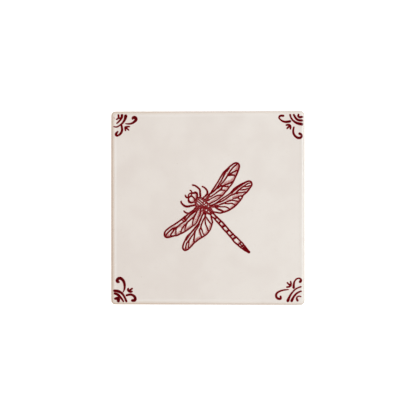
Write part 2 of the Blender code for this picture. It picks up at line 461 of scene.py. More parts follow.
# Lights scratched back to the glaze through the wet colour of the thorax.
thorax_lights = [
    stroke((0.35, 0.5, 0.55, 0.8), (-5.8, 6.2), (-5.15, 5.8), (-4.5, 5.35), (-3.75, 4.75)),
    stroke((0.35, 0.55, 0.5, 0.45), (-6.8, 5.4), (-5.95, 4.72), (-5.08, 4.02), (-4.3, 3.35),
           (-3.65, 2.65)),
    stroke((0.4, 0.78, 0.6), (-7.2, 4.1), (-6.5, 3.5), (-5.9, 2.9), (-5.35, 2.45)),
    stroke(0.26, (-7.7, 2.8), (-7.3, 2.2), (-6.9, 1.8)),
    stroke(0.26, (-5.0, 6.3), (-4.3, 6.5)),
    stroke(0.72, (-2.32, 3.7), (-2.28, 3.5)), stroke(0.72, (-1.35, 2.5), (-1.0, 2.45)),
    stroke(0.55, (-2.55, 1.85), (-2.3, 1.85)), stroke(0.72, (0.4, 1.4), (0.46, 1.25)),
    stroke(0.78, (-1.0, -1.2), (-0.93, -1.45)),
    stroke((0.45, 0.68, 0.45), (0.3, -2.1), (0.55, -2.45), (0.9, -2.8)),
    stroke(0.25, (-4.6, 1.85), (-4.5, 1.6)), stroke(0.25, (-5.7, 0.5), (-5.2, 0.7)),
    stroke((0.3, 0.5, 0.3), (-4.3, -1.1), (-3.9, -0.75), (-3.5, -0.3)),
    stroke((0.5, 0.5, 0.35), (-2.15, 6.6), (-1.5, 7.25), (-0.9, 7.9)),
    stroke(0.45, (-5.75, -0.6), (-5.7, -0.8)), stroke(0.42, (2.3, 0.35), (2.34, 0.12)),
]

abdomen = [
    # Its two sides.
    stroke((1.0, 1.02, 0.95, 0.95, 0.95, 1.05), (3.5, -3.2), (4.2, -4.0), (5.0, -4.9), (6.0, -5.9),
           (7.3, -7.1), (8.9, -8.6), (10.3, -9.9), (11.5, -11.4), (12.9, -12.9), (14.2, -14.5),
           (15.6, -15.9), (16.8, -17.2), (18.2, -18.6), (19.6, -19.8), (21.0, -21.2), (22.3, -22.5),
           (23.4, -23.6), (24.2, -24.7), (25.3, -26.0), (26.2, -27.3), (27.0, -28.4), (27.6, -29.2)),
    stroke((0.9, 0.95, 0.95, 0.95, 1.0, 1.1), (2.1, -4.9), (3.0, -5.9), (3.9, -6.4), (4.7, -7.2),
           (5.6, -8.4), (7.3, -10.2), (8.6, -11.7), (10.0, -13.4), (11.4, -15.0), (12.8, -16.4),
           (13.8, -17.7), (15.0, -19.0), (16.3, -20.4), (17.3, -22.0), (18.6, -23.3), (20.2, -24.6),
           (21.5, -25.7), (23.0, -26.8), (24.6, -28.0), (26.1, -28.8), (27.3, -29.4)),
    # The joints between its segments.
    stroke((1.0, 1.1, 1.0), (4.8, -7.1), (5.4, -6.6), (6.1, -5.9)),
    stroke((1.1, 1.1, 1.0), (7.5, -10.2), (8.1, -9.3), (8.9, -8.6)),
    stroke((1.2, 1.3, 1.2), (9.5, -12.6), (10.5, -12.1), (11.7, -11.6)),
    stroke((1.1, 1.2, 1.1), (12.7, -16.0), (13.4, -15.2), (14.2, -14.6)),
    stroke((1.1, 1.1, 1.1), (14.9, -18.6), (15.9, -18.0), (16.9, -17.2)),
    stroke((1.2, 1.25, 1.2), (16.6, -20.9), (17.6, -20.1), (19.0, -19.3)),
    stroke((1.1, 1.1, 1.0), (20.3, -24.5), (21.4, -23.6), (22.3, -22.7)),
    stroke((0.8, 0.75, 0.9), (21.4, -23.4), (22.0, -24.3), (22.8, -25.1)),
    # The tail.
    stroke(1.2, (22.4, -26.4), (23.1, -25.5), (23.9, -24.6)),
    stroke((1.4, 1.95, 1.45, 1.05), (23.7, -25.6), (24.8, -26.9), (26.1, -28.1), (27.3, -29.2)),
    stroke((1.2, 1.6), (26.6, -28.9), (27.5, -29.3)),
]
abdomen_shading = (
    shade([(4.2, -6.1), (5.2, -5.8)], [(3.8, -5.6), (4.9, -5.2)])
    + shade([(6.9, -8.9), (7.9, -8.1)], [(6.4, -8.2), (7.2, -7.5)])
    + shade([(9.2, -11.8), (10.5, -10.9)], [(8.7, -11.0), (9.8, -10.2)])
    + shade([(12.0, -15.1), (13.4, -14.1)], [(11.5, -14.2), (12.8, -13.2)])
    + shade([(14.5, -17.7), (15.7, -16.9)], [(14.1, -17.1), (15.1, -16.2)])
    + shade([(16.2, -19.7), (17.3, -18.9)], [(15.9, -19.0), (17.0, -18.1)])
    + shade([(19.6, -23.9), (20.8, -23.3), (21.4, -22.5)], [(19.3, -23.0), (20.1, -22.4), (20.6, -21.6)])
)
tail_lights = [
    stroke((0.4, 0.6, 0.45), (22.4, -23.4), (22.65, -23.8), (23.0, -24.25)),
    stroke((0.45, 0.55, 0.4), (21.2, -24.5), (21.55, -24.8), (21.95, -25.1)),
    stroke(0.3, (22.8, -26.2), (23.2, -26.2)), stroke(0.26, (23.8, -25.5), (24.0, -25.7)),
]

right_forewing = [
    # The outline, out along the front edge, round the tip and back.
    stroke((1.1, 0.85, 0.98, 1.05, 0.87, 0.85, 0.85), (0.7, 8.7), (1.4, 9.6), (2.2, 10.4), (3.2, 12.1),
           (4.4, 13.9), (5.6, 15.8), (6.95, 17.9), (8.15, 20.0), (9.3, 21.9), (10.55, 23.9),
           (12.75, 26.0), (14.6, 27.75), (16.25, 29.1), (17.9, 30.1), (19.4, 30.3), (20.65, 29.6),
           (21.1, 28.2), (20.75, 26.6), (20.25, 25.1), (19.6, 23.3), (18.7, 21.4), (17.75, 19.3),
           (17.0, 17.8), (16.0, 16.1), (15.05, 14.9), (14.05, 13.6), (13.0, 12.2), (11.65, 10.7),
           (10.4, 9.1), (9.0, 7.9), (7.4, 6.6), (5.6, 5.3), (3.9, 4.4), (2.2, 3.6), (0.9, 3.1)),
    # The veins.
    stroke((1.0, 1.0, 0.8, 0.85, 1.05, 1.0), (2.0, 9.9), (3.6, 11.1), (5.0, 12.25), (6.05, 13.45),
           (6.9, 14.95), (7.95, 16.7), (9.1, 18.5), (9.9, 20.1), (10.7, 21.7), (11.4, 23.3), (12.2, 24.8),
           (13.3, 26.1)),
    stroke((0.6, 1.5, 1.0), (11.2, 23.8), (12.5, 25.2), (14.3, 26.8)),
    stroke((0.85, 0.95, 0.95, 0.95), (8.5, 15.7), (9.6, 16.8), (10.65, 18.0), (11.6, 19.35),
           (12.55, 20.8), (13.4, 22.1), (14.1, 23.4), (14.9, 24.7), (15.85, 25.9), (16.75, 27.1),
           (17.85, 28.15), (19.0, 29.0), (19.9, 29.7)),
    stroke((0.9, 1.0, 0.8), (15.3, 23.25), (16.35, 23.85), (17.45, 24.4), (18.6, 25.0), (19.4, 25.3),
           (20.2, 25.2)),
    stroke((1.0, 0.9, 0.6), (13.6, 22.75), (14.7, 22.8), (15.8, 22.9)),
    stroke((1.1, 1.15, 1.0, 0.9), (13.5, 22.0), (14.8, 22.2), (16.3, 22.3), (17.6, 22.1), (18.4, 21.3)),
    stroke((1.1, 0.92, 1.0, 1.0), (6.6, 14.4), (8.3, 14.75), (10.0, 15.1), (11.4, 15.55), (12.8, 16.1),
           (14.2, 16.65), (15.5, 17.2), (16.7, 17.8)),
    stroke((0.95, 0.9, 0.85), (9.8, 14.8), (11.2, 14.7), (12.6, 14.55), (14.1, 14.45)),
    stroke((0.75, 0.8, 0.9, 1.2, 0.6), (1.0, 7.5), (2.2, 7.9), (3.4, 8.75), (4.9, 9.75), (6.4, 10.95),
           (7.7, 11.9), (8.6, 12.55), (9.2, 13.25), (9.7, 14.0), (10.1, 14.7)),
    stroke((1.0, 0.8, 0.8), (8.3, 12.2), (9.8, 12.2), (11.0, 12.05), (12.1, 11.6)),
    stroke((0.7, 0.8, 0.9), (0.6, 5.5), (1.3, 5.9), (2.4, 6.6), (3.6, 7.15), (4.8, 7.8), (6.2, 8.5),
           (7.7, 8.8), (8.8, 8.6), (9.5, 8.2)),
    stroke(0.8, (16.4, 17.9), (16.3, 16.7)),
    stroke((0.9, 1.2, 0.8), (6.3, 13.3), (7.3, 14.0), (7.9, 14.9)),
]
right_forewing_shading = (
    shade([(20.4, 29.1), (20.3, 27.2), (19.8, 25.8)],
          [(19.2, 27.9), (17.8, 26.6), (16.6, 25.2)], pitch=0.45, broad=0.34)
    + shade([(19.5, 24.5), (19.1, 23.3), (18.5, 22.3)],
            [(18.2, 24.4), (17.7, 23.6), (17.2, 23.0)], broad=0.4)
    + shade([(10.4, 16.0), (13.0, 17.1), (15.4, 18.1), (17.1, 19.0), (17.9, 21.0)],
            [(11.2, 17.6), (12.8, 18.6), (14.5, 19.3), (15.7, 20.2), (16.6, 21.4)], pitch=0.45, broad=0.36)
    + shade([(13.8, 14.1), (12.6, 12.5), (11.0, 12.5)],
            [(12.6, 14.0), (11.7, 13.4), (10.8, 13.3)], pitch=0.45, broad=0.32)
    + shade([(11.9, 11.4), (10.6, 9.7), (9.4, 8.8)],
            [(10.0, 11.6), (8.7, 10.3), (7.9, 9.6)], pitch=0.4, broad=0.42)
    + shade([(1.9, 4.0), (3.2, 4.8), (6.0, 6.6), (8.8, 8.4)],
            [(0.5, 4.2), (2.2, 5.2), (4.5, 6.9), (7.0, 8.2)])
    + shade([(4.4, 12.5), (5.9, 13.7), (6.7, 15.2)], [(4.4, 13.4), (5.4, 14.2), (6.1, 15.6)])
    + shade([(0.8, 8.7), (1.5, 9.9)], [(-0.2, 8.6), (0.3, 9.9)], pitch=0.42, broad=0.42)
    + shade([(6.9, 15.9), (8.0, 17.7)], [(6.5, 16.2), (7.7, 18.0)], fine=0.2)
    + shade([(9.9, 21.6), (10.5, 22.8)], [(9.6, 21.8), (10.2, 23.2)])
    + shade([(8.0, 15.6), (9.1, 17.0), (9.9, 18.6)], [(7.9, 15.9), (9.0, 17.5), (9.7, 19.0)])
    + shade([(12.0, 22.2), (13.0, 23.8), (14.0, 25.2)], [(11.9, 22.9), (12.7, 24.2), (13.8, 25.7)])
    + shade([(14.3, 15.2), (13.2, 15.7)], [(13.4, 14.9), (12.4, 15.3)])
)

right_hindwing = [
    # The front edge, and from the tip back along the rear edge.
    stroke((1.0, 1.0, 1.0, 0.85, 0.85, 0.82, 0.85, 1.0, 1.05, 1.1, 1.05, 0.95, 0.95), (1.6, 1.9),
           (2.8, 2.1), (4.0, 2.5), (5.2, 3.1), (6.3, 3.8), (7.1, 4.4), (8.0, 5.2), (8.8, 5.9), (9.9, 6.6),
           (11.0, 7.3), (12.0, 7.9), (13.0, 8.6), (13.9, 9.2), (14.75, 9.85), (15.6, 10.65), (16.4, 11.5),
           (17.3, 12.6), (18.45, 13.6), (19.6, 14.35), (20.9, 15.15), (22.2, 15.9), (23.5, 16.55),
           (24.9, 17.2), (26.2, 17.85), (27.4, 18.15), (28.5, 17.95), (29.3, 17.15), (29.5, 16.0)),
    stroke((1.0, 0.95, 1.0, 0.95, 0.9), (29.5, 16.0), (29.1, 14.9), (28.3, 13.8), (27.5, 12.6),
           (26.6, 11.4), (25.5, 10.3), (24.4, 9.4), (23.4, 8.4), (23.0, 7.3), (22.25, 6.1), (21.45, 5.0),
           (20.55, 4.0), (19.6, 2.85), (18.4, 1.7), (17.2, 0.7), (16.0, -0.1), (14.8, -0.9), (13.5, -1.6),
           (12.0, -2.2), (10.5, -2.6), (9.3, -2.95), (8.1, -3.15), (6.8, -2.95), (5.5, -2.7), (4.2, -2.5),
           (3.2, -2.0)),
    # The veins.
    stroke((1.05, 0.9, 0.85, 0.85, 0.82, 0.8), (6.0, 3.4), (7.0, 3.85), (8.1, 4.2), (9.2, 4.6),
           (10.3, 5.1), (11.4, 5.75), (12.5, 6.5), (13.5, 7.3), (14.4, 8.0), (15.4, 8.65)),
    stroke((0.95, 1.0, 0.9, 0.85, 0.75), (15.4, 8.65), (16.5, 9.15), (17.7, 9.5), (18.7, 10.1),
           (19.55, 11.0), (20.5, 12.0), (21.6, 12.8), (22.65, 13.7), (23.7, 14.45), (24.75, 15.2),
           (25.65, 15.8), (26.4, 16.15)),
    stroke((0.6, 0.9, 0.6), (18.7, 9.75), (19.8, 9.95), (20.8, 10.3)),
    stroke((0.7, 0.75, 0.6), (26.3, 16.5), (27.6, 16.75), (28.9, 16.9)),
    stroke((0.85, 0.9, 0.8, 0.7), (16.1, 10.2), (17.0, 11.1), (18.0, 12.0), (19.2, 12.95), (20.2, 13.9),
           (21.6, 14.85), (23.2, 15.85), (25.0, 16.9)),
    stroke(0.7, (27.1, 14.95), (28.0, 15.15), (28.9, 15.15)),
    stroke((0.9, 0.7, 0.7), (24.6, 14.6), (25.8, 14.5), (26.9, 14.55), (27.6, 14.9)),
    stroke((0.6, 0.95, 0.8, 0.75), (22.0, 12.1), (22.8, 12.25), (23.8, 12.4), (25.1, 12.6), (26.3, 13.05),
           (27.6, 13.15)),
    stroke((0.75, 0.85, 0.8, 0.8), (20.3, 10.55), (21.6, 10.5), (23.2, 10.55), (24.6, 10.9),
           (25.5, 10.8)),
    stroke((0.5, 0.8, 1.1, 0.85), (16.4, 5.9), (17.1, 6.4), (18.3, 6.7), (19.4, 6.95), (20.2, 7.0),
           (21.0, 6.6), (21.9, 6.2)),
    stroke(0.9, (20.2, 7.4), (21.1, 7.95), (22.2, 8.15), (23.1, 8.25)),
    stroke((0.7, 1.0, 0.85, 1.0, 0.8, 0.8), (7.2, 2.05), (8.2, 2.5), (9.3, 2.9), (10.3, 3.25),
           (11.6, 3.75), (12.5, 4.3), (13.5, 4.65), (14.8, 5.1), (16.3, 5.4), (17.4, 5.2), (18.6, 5.0),
           (19.7, 4.7), (20.5, 4.2)),
    stroke((0.85, 0.8, 0.9), (11.4, 3.3), (12.8, 3.1), (14.2, 3.1), (15.4, 3.3), (16.5, 3.15),
           (17.5, 2.7), (18.4, 2.0)),
    stroke((0.8, 0.8, 0.85), (6.4, 1.25), (8.2, 1.05), (10.0, 1.0), (11.8, 0.95), (13.0, 0.55),
           (14.1, -0.1), (15.0, -0.8)),
    stroke((1.2, 1.1, 1.15, 1.15), (5.2, 0.9), (6.0, 0.1), (7.0, -0.6), (8.3, -1.1), (9.4, -1.6),
           (10.3, -2.3)),
    stroke(0.7, (4.4, 1.75), (5.7, 1.7), (6.9, 1.6)),
]
right_hindwing_shading = (
    shade([(12.5, 5.1), (14.0, 5.7), (15.8, 6.2)], [(11.6, 5.7), (13.4, 6.8), (15.4, 7.6)])
    + shade([(16.2, 6.7), (18.4, 7.4), (20.4, 8.0), (22.8, 8.7)],
            [(16.2, 7.9), (18.0, 8.7), (20.0, 9.6), (22.9, 9.9)], pitch=0.42, broad=0.42)
    + shade([(23.6, 14.2), (25.6, 14.3)], [(23.9, 13.6), (25.7, 13.6)])
    + shade([(27.9, 14.6), (27.8, 13.8)], [(26.9, 14.1), (26.9, 13.7)])
    + shade([(24.4, 11.2), (25.6, 11.2), (26.5, 11.8)], [(24.4, 11.8), (25.6, 12.1), (26.6, 12.6)])
    + shade([(15.9, 8.7), (18.3, 9.5), (20.8, 10.0), (23.2, 10.2)],
            [(16.3, 8.2), (18.6, 8.8), (21.0, 9.3), (23.2, 9.7)])
    + shade([(20.6, 4.9), (21.5, 6.0)], [(19.2, 5.3), (20.2, 6.3)], pitch=0.4, broad=0.4)
    + shade([(20.0, 4.0), (18.8, 2.5)], [(18.0, 4.8), (17.3, 3.5)], pitch=0.4, broad=0.4)
    + shade([(17.8, 1.7), (16.8, 0.8), (15.4, 0.0)], [(16.4, 2.7), (15.6, 1.9), (14.5, 1.2)], broad=0.4)
    + shade([(14.3, -1.0), (12.8, -1.7), (10.8, -2.1)],
            [(13.6, -0.2), (12.2, -0.9), (10.3, -1.2)], pitch=0.42, broad=0.42)
    + shade([(17.4, 12.3), (18.6, 13.0), (19.8, 13.9)], [(16.8, 11.9), (17.9, 13.0), (19.2, 13.7)])
    + shade([(16.5, 10.3), (18.6, 11.9), (21.0, 13.7), (23.6, 15.5)],
            [(17.2, 10.6), (19.0, 12.0), (21.4, 13.6), (24.0, 15.2)])
    + [stroke(0.34, (x - 0.28, y + 0.42), (x + 0.28, y - 0.42)) for x, y in
       ((9.6, 5.7), (10.5, 6.25), (11.6, 7.0), (12.5, 7.6), (13.6, 8.4), (14.6, 9.1), (15.4, 9.8))]
)
hindwing_light = [stroke(0.95, (21.6, 7.15), (21.85, 7.15))]

left_forewing = [
    # The outline, out along the front edge, round the tip and back.
    stroke((0.9, 1.0, 0.95, 0.95, 1.1, 0.95, 0.9, 0.85, 0.8), (-8.1, 0.4), (-8.9, -0.5), (-9.9, -1.5),
           (-11.0, -2.3), (-12.1, -3.0), (-13.3, -3.9), (-14.5, -5.1), (-15.6, -5.8), (-16.8, -6.8),
           (-18.0, -7.8), (-19.1, -8.6), (-20.4, -9.55), (-21.6, -10.4), (-22.9, -11.2), (-24.2, -12.0),
           (-25.6, -12.9), (-26.9, -13.9), (-28.1, -14.95), (-28.85, -16.0), (-29.15, -17.3),
           (-28.9, -18.55), (-28.0, -19.4), (-26.7, -19.5), (-25.3, -19.2), (-23.9, -18.8),
           (-22.4, -18.45), (-21.0, -18.25), (-19.8, -17.8), (-18.7, -17.2), (-17.5, -16.7),
           (-16.2, -16.1), (-15.1, -15.4), (-13.9, -14.6), (-12.6, -13.7), (-11.4, -12.8), (-10.2, -11.9),
           (-9.0, -11.1), (-8.1, -10.2), (-7.4, -9.1), (-6.9, -7.8), (-6.3, -6.5), (-5.7, -5.3),
           (-5.25, -4.1), (-4.95, -2.9), (-4.8, -1.8)),
    # The veins.
    stroke((1.2, 1.1, 0.95, 0.9, 0.9, 1.15), (-9.0, -2.2), (-10.0, -3.1), (-11.2, -4.0), (-12.3, -5.1),
           (-13.3, -6.2), (-14.3, -7.4), (-15.0, -8.5), (-16.3, -9.25), (-17.6, -10.1), (-18.8, -11.0),
           (-19.8, -11.9), (-20.6, -12.65), (-21.2, -13.35)),
    stroke((1.15, 0.95, 0.9), (-21.3, -13.2), (-22.6, -13.4), (-23.9, -13.8), (-25.0, -14.7),
           (-26.0, -15.6), (-27.0, -16.6), (-27.8, -17.6), (-28.4, -18.6)),
    stroke((0.8, 1.1, 0.7), (-15.0, -5.8), (-16.0, -6.6), (-17.2, -7.3)),
    stroke(0.55, (-16.1, -6.9), (-15.6, -7.8), (-15.2, -8.4)),
    stroke(0.7, (-14.9, -6.0), (-15.4, -6.8), (-15.0, -7.8)),
    stroke(0.6, (-17.5, -7.6), (-17.1, -8.1), (-16.3, -8.9)),
    stroke((0.85, 1.05, 0.82, 1.1), (-6.9, -1.0), (-7.5, -2.4), (-8.1, -3.7), (-8.8, -4.9), (-9.5, -5.9),
           (-10.65, -6.85), (-11.8, -7.75), (-12.85, -8.65), (-13.8, -9.5), (-14.4, -10.5)),
    stroke((0.9, 0.8, 0.85, 0.8), (-14.5, -10.6), (-15.4, -11.3), (-16.2, -12.1), (-16.9, -13.1),
           (-17.5, -14.1), (-17.9, -15.2), (-18.2, -16.6)),
    stroke((1.0, 0.7, 0.7), (-14.6, -10.9), (-14.9, -12.2), (-15.2, -13.5), (-15.5, -14.9)),
    stroke((1.15, 0.75, 0.7), (-9.15, -5.6), (-9.65, -7.0), (-10.0, -8.4), (-10.3, -9.8), (-10.2, -11.2)),
    stroke(0.95, (-22.3, -13.9), (-23.0, -14.8), (-23.6, -15.8), (-24.3, -16.8), (-24.9, -17.8),
           (-25.0, -18.7)),
    stroke(0.8, (-21.3, -13.6), (-21.5, -15.0), (-21.5, -16.5), (-21.4, -17.9)),
]
left_forewing_wash = (
    wash([(-8.9, -1.0), (-10.6, -2.4), (-12.6, -4.0)],
         [(-8.8, -1.6), (-10.6, -2.9), (-12.4, -4.6)], width=0.9)
    + wash([(-14.6, -5.8), (-15.6, -6.6), (-16.4, -7.4)],
           [(-14.9, -7.2), (-15.3, -7.9), (-15.9, -8.5)], width=0.7)
)
left_forewing_shading = (
    shade([(-21.0, -12.6), (-22.8, -12.9), (-24.4, -13.5)],
          [(-21.0, -11.2), (-22.8, -11.9), (-24.6, -12.9)], broad=0.4)
    + shade([(-17.6, -10.6), (-18.9, -11.6), (-20.3, -12.9)],
            [(-17.0, -11.5), (-18.0, -12.8), (-19.2, -14.2)], broad=0.32)
    + shade([(-15.7, -11.0), (-16.8, -12.1), (-17.6, -13.3)],
            [(-16.8, -10.0), (-18.1, -11.2), (-19.2, -12.5)])
    + shade([(-15.5, -12.5), (-15.8, -13.9), (-16.3, -15.5)],
            [(-16.3, -12.9), (-16.8, -14.2), (-17.3, -15.6)])
    + shade([(-14.9, -14.3), (-13.0, -13.2), (-11.3, -12.2), (-10.5, -10.9)],
            [(-14.2, -12.4), (-12.9, -11.8), (-11.9, -11.0), (-11.2, -10.0)])
    + shade([(-7.3, -6.6), (-7.8, -8.3), (-8.6, -9.8), (-9.8, -10.9)],
            [(-8.8, -6.0), (-9.2, -7.4), (-9.5, -8.7), (-9.9, -9.7)])
    + shade([(-5.3, -1.6), (-5.7, -3.2), (-6.1, -4.8), (-6.9, -6.4)],
            [(-6.4, -1.4), (-7.0, -3.0), (-7.4, -4.8), (-8.1, -6.2)], pitch=0.42, broad=0.42)
    + shade([(-18.5, -15.2), (-19.2, -16.7), (-20.8, -17.3)],
            [(-19.4, -14.6), (-19.9, -15.8), (-20.9, -16.2)])
    + shade([(-22.0, -15.6), (-22.3, -17.5)], [(-22.9, -16.4), (-23.4, -17.6)])
    + shade([(-27.7, -18.9), (-26.3, -18.9), (-25.3, -18.6)],
            [(-27.3, -17.3), (-25.9, -16.9), (-25.0, -17.2)], broad=0.4)
    + shade([(-28.5, -16.5), (-28.0, -17.6)], [(-28.1, -16.5), (-27.7, -17.1)])
    + shade([(-14.9, -10.3), (-16.6, -11.2)], [(-15.0, -9.6), (-16.6, -10.3)])
    + shade([(-9.5, -4.4), (-10.9, -5.6), (-12.2, -6.9)],
            [(-8.9, -3.7), (-10.4, -4.9), (-11.9, -6.4)], pitch=0.8)
    + shade([(-6.0, -6.4), (-6.6, -8.0), (-7.3, -9.4)],
            [(-5.4, -6.4), (-5.9, -8.0), (-6.6, -9.6)], pitch=0.42, broad=0.42)
)

left_hindwing = [
    # The outline, out along the front edge, round the tip and back.
    stroke((0.9, 1.05, 1.05, 0.9, 0.9, 1.0, 1.0, 0.9, 0.95, 0.85, 0.85, 0.9, 0.9), (-2.4, -3.0),
           (-3.3, -4.0), (-4.0, -5.3), (-4.5, -6.6), (-5.0, -7.9), (-5.6, -9.2), (-6.1, -10.3),
           (-6.85, -11.25), (-7.65, -12.15), (-8.5, -13.15), (-9.3, -14.15), (-10.1, -15.0),
           (-10.95, -16.05), (-11.85, -16.95), (-12.85, -17.8), (-13.65, -18.7), (-14.35, -19.8),
           (-14.95, -20.9), (-15.4, -22.0), (-15.95, -23.05), (-16.4, -24.3), (-16.75, -25.5),
           (-16.75, -26.6), (-16.3, -27.6), (-15.6, -28.15), (-14.6, -28.1), (-13.6, -27.6),
           (-12.5, -26.75), (-11.5, -25.8), (-10.6, -24.9), (-9.8, -23.9), (-8.8, -22.9), (-7.8, -22.2),
           (-6.9, -21.4), (-5.8, -20.65), (-4.8, -20.0), (-3.7, -19.4), (-2.8, -18.8), (-1.7, -18.2),
           (-0.8, -17.4), (0.05, -16.45), (0.9, -15.4), (1.6, -14.25), (2.1, -13.0), (2.5, -11.6),
           (2.9, -10.3), (3.1, -9.2), (2.8, -8.0), (2.5, -6.9), (2.3, -5.8), (2.1, -4.8), (1.3, -4.0),
           (0.5, -3.3)),
    # The veins.
    stroke((0.85, 0.78, 0.8, 0.88, 0.85, 0.9, 0.85, 0.8, 0.8), (-5.7, -10.6), (-6.3, -11.9),
           (-6.9, -13.0), (-7.6, -14.1), (-8.3, -15.1), (-9.0, -16.1), (-9.6, -17.2), (-10.6, -18.5),
           (-11.5, -19.8), (-12.2, -20.9), (-12.8, -21.9), (-13.6, -22.7), (-14.2, -23.5), (-14.5, -24.6),
           (-14.8, -25.8), (-14.9, -27.3)),
    stroke((0.35, 0.6, 0.6), (-9.8, -15.3), (-10.8, -16.3), (-11.7, -17.4)),
    stroke((0.55, 0.55, 0.6, 0.95, 0.95), (-11.8, -17.6), (-12.3, -18.5), (-13.1, -19.4), (-13.9, -20.3),
           (-14.5, -21.3)),
    stroke(0.35, (-12.9, -17.9), (-12.4, -18.6)), stroke(0.35, (-13.6, -18.6), (-13.1, -19.3)),
    stroke(0.45, (-14.1, -19.4), (-13.8, -20.1)),
    stroke(0.35, (-9.7, -14.9), (-9.2, -15.3)),
    stroke((0.9, 0.75, 0.75, 0.7), (-12.8, -22.0), (-12.7, -23.1), (-12.85, -24.4), (-13.05, -25.4),
           (-12.9, -26.4)),
    stroke((1.0, 0.85, 0.8, 1.1, 1.0), (-8.5, -15.3), (-8.75, -16.8), (-8.9, -18.2), (-9.1, -19.6),
           (-9.4, -21.2), (-9.3, -22.8)),
    stroke((0.7, 0.8, 0.85, 0.8), (-4.9, -13.4), (-5.5, -14.6), (-5.3, -15.8), (-5.0, -16.9),
           (-4.6, -18.0), (-4.0, -19.2)),
    stroke((1.1, 0.95, 0.85, 0.85, 1.05), (-1.6, -3.6), (-1.7, -4.9), (-2.0, -6.1), (-2.7, -7.3),
           (-3.3, -8.4), (-3.7, -9.4), (-4.2, -10.6), (-4.5, -11.7), (-4.7, -12.8), (-4.5, -13.8)),
    stroke((0.9, 0.7, 0.8), (-4.4, -13.8), (-3.8, -14.9), (-3.5, -16.1), (-3.0, -17.2), (-2.4, -18.0)),
    stroke((0.5, 0.85, 0.8, 0.85), (-1.8, -6.2), (-1.75, -7.6), (-1.7, -9.0), (-1.6, -10.3),
           (-1.2, -11.5), (-0.6, -12.7), (-0.1, -13.9), (0.3, -15.0)),
    stroke(0.88, (-1.4, -5.7), (-0.8, -6.6), (-0.1, -7.6), (0.6, -8.6), (1.2, -9.4), (1.9, -10.2),
           (2.6, -10.9)),
]
left_hindwing_shading = (
    shade([(1.9, -5.4), (2.0, -7.0), (2.3, -8.6)], [(1.2, -5.2), (1.4, -6.8), (1.6, -8.3)])
    + shade([(2.6, -8.6), (2.6, -9.7)], [(1.8, -8.6), (1.9, -9.5)])
    + shade([(2.2, -11.0), (1.9, -12.6), (1.2, -14.4)],
            [(0.9, -10.6), (0.5, -12.2), (0.3, -13.8)], pitch=0.42, broad=0.4)
    + shade([(-1.0, -12.2), (-0.5, -13.8), (-0.2, -15.3)],
            [(-1.8, -12.8), (-1.6, -14.6), (-1.3, -15.9)], broad=0.38)
    + shade([(-5.2, -13.2), (-5.7, -14.8), (-5.5, -16.2), (-5.0, -17.8)],
            [(-6.3, -13.6), (-6.8, -15.2), (-6.5, -16.8), (-6.1, -18.2)], pitch=0.4, broad=0.42)
    + shade([(0.3, -15.4), (-0.9, -16.8), (-2.0, -17.7)],
            [(-0.8, -15.0), (-1.8, -15.9), (-2.8, -16.6)], broad=0.4)
    + shade([(-1.9, -7.0), (-1.9, -8.7)], [(-2.6, -7.8), (-2.8, -9.0)])
    + shade([(-4.0, -2.3), (-4.4, -3.8), (-4.9, -5.2)],
            [(-4.3, -2.6), (-4.7, -4.2), (-5.2, -5.4)], pitch=0.4)
    + shade([(-8.7, -21.8), (-7.2, -20.7), (-5.6, -19.8), (-4.7, -19.3)],
            [(-8.0, -19.9), (-6.8, -19.1), (-5.7, -18.4), (-5.0, -17.9)], pitch=0.45, broad=0.32)
    + shade([(-9.9, -23.2), (-11.0, -24.6), (-12.2, -25.6)],
            [(-10.5, -21.5), (-11.3, -23.6), (-12.3, -24.1)])
    + shade([(-14.4, -27.3), (-13.3, -26.8)], [(-14.3, -25.4), (-13.6, -25.3)])
    + shade([(-16.3, -27.0), (-15.4, -27.5)], [(-16.2, -26.2), (-15.4, -26.4)])
)


# ---------------------------------------------------------------- the corner scrolls

def corner(side, end, *strokes):
    """Strokes given by how far they are in from the side and from the end of the tile."""
    edge = HALF / MM
    return [[(side * (edge - x), end * (edge - y), width) for x, y, width in path] for path in strokes]


# Each scroll is arcs round the corner, the smallest first, then two curling horns and a sprig.

top_left = corner(-1, 1,
    stroke((1.05, 1.05, 0.95, 0.8), (5.02, 2.35), (5.12, 3.6), (4.8, 4.6), (3.8, 5.3)),
    stroke(0.95, (5.2, 4.5), (6.4, 4.4)),
    stroke((1.5, 1.25, 1.0, 0.72), (7.45, 2.55), (7.15, 4.2), (6.2, 5.75), (4.95, 7.1), (3.9, 8.0)),
    stroke((1.85, 1.5, 1.15, 0.88, 0.82, 0.65), (9.95, 3.1), (9.4, 5.2), (7.8, 7.75), (5.7, 9.45),
           (3.75, 10.42), (1.9, 10.1)),
    stroke((1.1, 1.35, 1.35, 1.2, 1.0, 1.35, 1.35, 0.85), (7.0, 9.0), (7.4, 10.9), (7.4, 12.9),
           (6.6, 14.65), (5.15, 15.9), (3.75, 16.2), (3.35, 15.3), (3.95, 14.2), (4.6, 13.5)),
    stroke((0.55, 0.9, 1.12, 1.35, 1.7, 1.85, 1.85, 1.35, 1.1), (9.9, 8.2), (11.6, 8.35), (13.75, 8.08),
           (15.6, 7.0), (16.85, 5.5), (16.6, 4.5), (15.6, 4.05), (14.7, 4.3), (14.6, 4.95)),
    stroke((1.0, 1.05, 0.85), (9.55, 10.5), (11.0, 10.25), (12.4, 10.15)),
    stroke((0.85, 0.95, 0.85), (9.65, 10.65), (10.8, 11.5), (11.9, 12.4)),
    stroke((0.95, 1.0, 0.85), (9.5, 10.5), (9.65, 11.7), (9.8, 12.75)),
)
